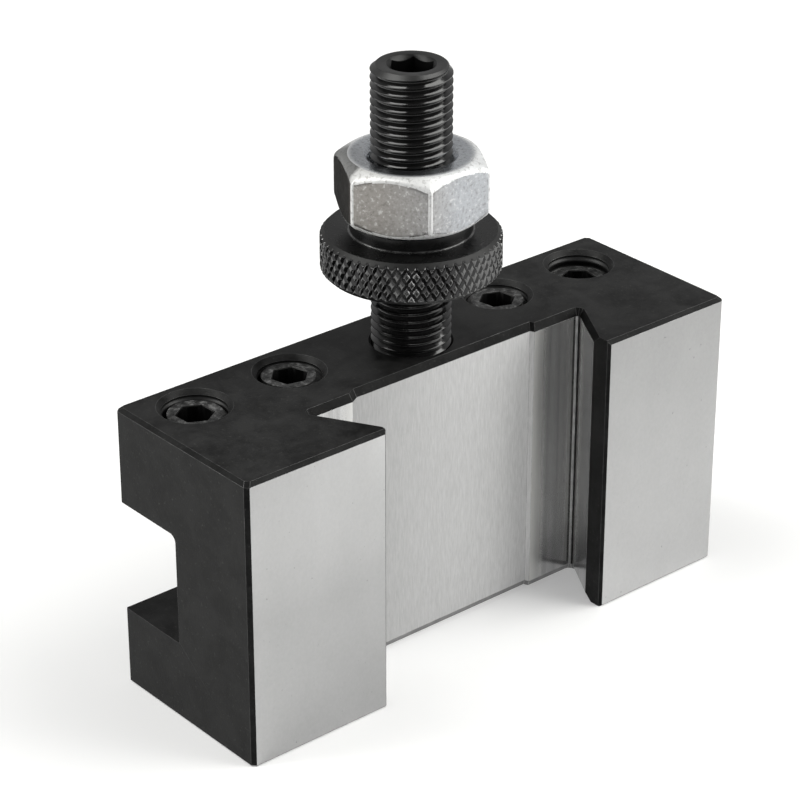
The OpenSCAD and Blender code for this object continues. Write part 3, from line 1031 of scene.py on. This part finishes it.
# Camera of the photograph: where it looks and how far off it stands, in millimetres,
# from what angles, and its lens.
CAMERA_TARGET = (-5.0, 0.0, 32.7)
CAMERA_DISTANCE = 353.5
CAMERA_AZIMUTH = -40.29
CAMERA_ELEVATION = 27.27
CAMERA_LENS = 130.46
SENSOR_WIDTH = 36.0

# What the soft panels are turned to, how far off they stand, and their faintly yellow
# white.
LIGHT_TARGET = (0, 0, 0.04)
LIGHT_DISTANCE = 0.65
LIGHT_COLOUR = (1.0, 1.0, 0.975)

# Heights of the sky's unit sphere between which it fades, and its strength below and above.
SKY_FADE = (0.45, 0.85)
SKY_STRENGTH = (0.42, 0.08)

FLOOR_SIZE = 6.0
CARD_HEIGHT = 0.0005


def towards(azimuth, elevation):
    """Unit vector from the object to a place. Azimuth 0 is in front, 90 to the right."""
    a, e = math.radians(azimuth), math.radians(elevation)
    return Vector((math.sin(a) * math.cos(e), -math.cos(a) * math.cos(e), math.sin(e)))


def aim(obj, place, back):
    """Put a camera or a panel in its place in the scene, looking against the vector back."""
    obj.location = place
    obj.rotation_mode = "QUATERNION"
    obj.rotation_quaternion = (-back).to_track_quat("-Z", "Y")
    bpy.context.scene.collection.objects.link(obj)


def make_camera():
    data = bpy.data.cameras.new("camera")
    data.sensor_width = SENSOR_WIDTH
    data.lens = CAMERA_LENS
    data.clip_start = 0.01
    data.clip_end = 50.0
    obj = bpy.data.objects.new("camera", data)
    back = towards(CAMERA_AZIMUTH, CAMERA_ELEVATION)
    aim(obj, (Vector(CAMERA_TARGET) + back * CAMERA_DISTANCE) * MM, back)
    bpy.context.scene.camera = obj


def make_light(name, azimuth, elevation, width, height, power):
    """A soft panel that faces the object. Sizes are in metres and power in watts."""
    data = bpy.data.lights.new(name, "AREA")
    data.shape = "RECTANGLE"
    data.size = width
    data.size_y = height
    data.energy = power
    data.color = LIGHT_COLOUR
    back = towards(azimuth, elevation)
    aim(bpy.data.objects.new(name, data), Vector(LIGHT_TARGET) + back * LIGHT_DISTANCE, back)


def make_rectangle(name, centre, size, height, material):
    """A level rectangle in the scene, in metres."""
    half_x, half_y = size[0] / 2, size[1] / 2
    corners = ((-half_x, -half_y), (half_x, -half_y), (half_x, half_y), (-half_x, half_y))
    mesh = bpy.data.meshes.new(name)
    mesh.from_pydata([(centre[0] + x, centre[1] + y, height) for x, y in corners], [], [(0, 1, 2, 3)])
    mesh.materials.append(material)
    obj = bpy.data.objects.new(name, mesh)
    bpy.context.scene.collection.objects.link(obj)
    return obj


def make_floor():
    floor = make_rectangle("floor", (0, 0), (FLOOR_SIZE, FLOOR_SIZE), 0.0, pale_floor("floor_white"))


def make_card(name, centre, size, grey):
    """A dark card just over the floor that only reflections see, as a studio flag."""
    card = make_rectangle(name, centre, size, CARD_HEIGHT, dull_card(name, grey))
    card.visible_camera = False
    card.visible_diffuse = False
    card.visible_shadow = False


def make_world():
    """Soft light from all around that fades towards the dark ceiling."""
    world = bpy.data.worlds.new("studio")
    world.use_nodes = True
    tree = world.node_tree
    coords = tree.nodes.new("ShaderNodeTexCoord")
    parts = tree.nodes.new("ShaderNodeSeparateXYZ")
    fade = tree.nodes.new("ShaderNodeMapRange")
    fade.inputs["From Min"].default_value, fade.inputs["From Max"].default_value = SKY_FADE
    fade.inputs["To Min"].default_value, fade.inputs["To Max"].default_value = SKY_STRENGTH
    tree.links.new(coords.outputs["Generated"], parts.inputs[0])
    tree.links.new(parts.outputs["Z"], fade.inputs["Value"])
    tree.links.new(fade.outputs["Result"], tree.nodes["Background"].inputs["Strength"])
    tree.nodes["Background"].inputs["Color"].default_value = (1.0, 1.0, 1.0, 1.0)
    bpy.context.scene.world = world


def make_studio():
    make_floor()
    make_world()
    make_light("left_box", CAMERA_AZIMUTH - 84, 44, 0.28, 0.9, 4.0)
    make_light("right_box", CAMERA_AZIMUTH + 92, 40, 0.48, 0.85, 5.4)
    make_card("back_flag", (0.15, 0.35), (0.4, 0.62), 0.05)
    make_card("front_flag", (-0.11, -0.166), (0.28, 0.188), 0.12)
    bpy.context.scene.view_settings.view_transform = "Standard"


make_block()
make_clamp_screws()
make_stud()
make_collar()
make_nut()
make_camera()
make_studio()
